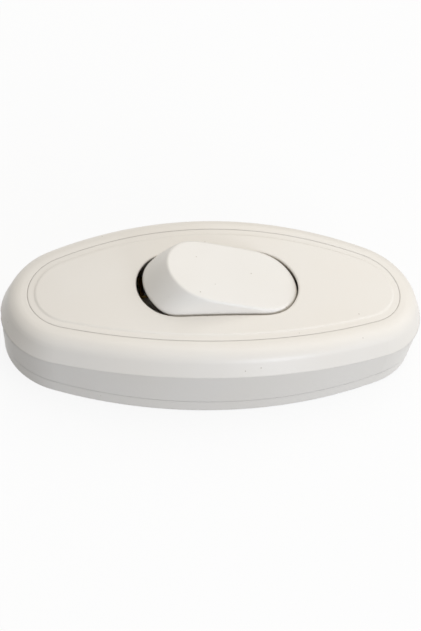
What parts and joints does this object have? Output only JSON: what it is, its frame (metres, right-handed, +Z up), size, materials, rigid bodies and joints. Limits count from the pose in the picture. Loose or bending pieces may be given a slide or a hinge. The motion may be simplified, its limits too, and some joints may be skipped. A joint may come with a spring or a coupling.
{
  "type": "inline cord switch",
  "caption": "Oval inline cord switch: an arched moulded housing with a cord inlet at each end and a tilting rocker that works a see-saw contact.",
  "frame": {"origin": "middle of the flat underside", "axes": "+X along the cord's line, towards the rocker end that is pressed at rest; +Y across; +Z up"},
  "size_m": [0.0798, 0.0384, 0.0203],
  "materials": {
    "housing_plastic": "smooth moulded, satin gloss, warm off-white",
    "rocker_plastic": "smooth moulded, satin gloss, warm off-white",
    "inner_plastic": "moulded, matt",
    "brass": "stamped, bright",
    "plated_steel": "zinc plated",
    "contact_silver": "silver alloy, satin"
  },
  "bodies": {
    "housing": {"upper_housing": "housing_plastic", "base_cover": "housing_plastic", "line_in_terminal": "brass", "line_out_terminal": "brass", "neutral_link": "brass", "fixed_contact": "contact_silver", "line_in_screw": "brass", "line_out_screw": "brass", "neutral_in_screw": "brass", "neutral_out_screw": "brass", "line_in_washer": "plated_steel", "line_out_washer": "plated_steel", "neutral_in_washer": "plated_steel", "neutral_out_washer": "plated_steel", "cord_clamp_left": "inner_plastic", "cord_clamp_right": "inner_plastic", "clamp_screw_left_front": "plated_steel", "clamp_screw_left_back": "plated_steel", "clamp_screw_right_front": "plated_steel", "clamp_screw_right_back": "plated_steel", "cover_screw_left": "plated_steel", "cover_screw_right": "plated_steel"},
    "rocker": {"rocker": "rocker_plastic", "plunger_spring": "plated_steel"},
    "plunger": {"plunger": "inner_plastic"},
    "see_saw": {"contact_bridge": "brass", "moving_contact": "contact_silver"}
  },
  "joints": [
    {"name": "rocker_tilt", "type": "hinge", "parent": "housing", "child": "rocker", "pos_m": [0, 0, 0.00736], "axis": [0, -1, 0], "range_deg": [0, 28.6]},
    {"name": "plunger_slide", "type": "slide", "parent": "rocker", "child": "plunger", "axis": [0.247, 0, 0.969], "range_m": [0, 0.0008], "stiffness_N_per_m": 300, "springref_m": -0.001, "deforming": ["plunger_spring"]},
    {"name": "see_saw_tilt", "type": "hinge", "parent": "housing", "child": "see_saw", "pos_m": [0, 0, 0.0038], "axis": [0, 1, 0], "range_deg": [0, 10]}
  ],
  "couplings": [
    {"joint": "see_saw_tilt", "follows": "rocker_tilt", "ratio": 0.3496}
  ]
}
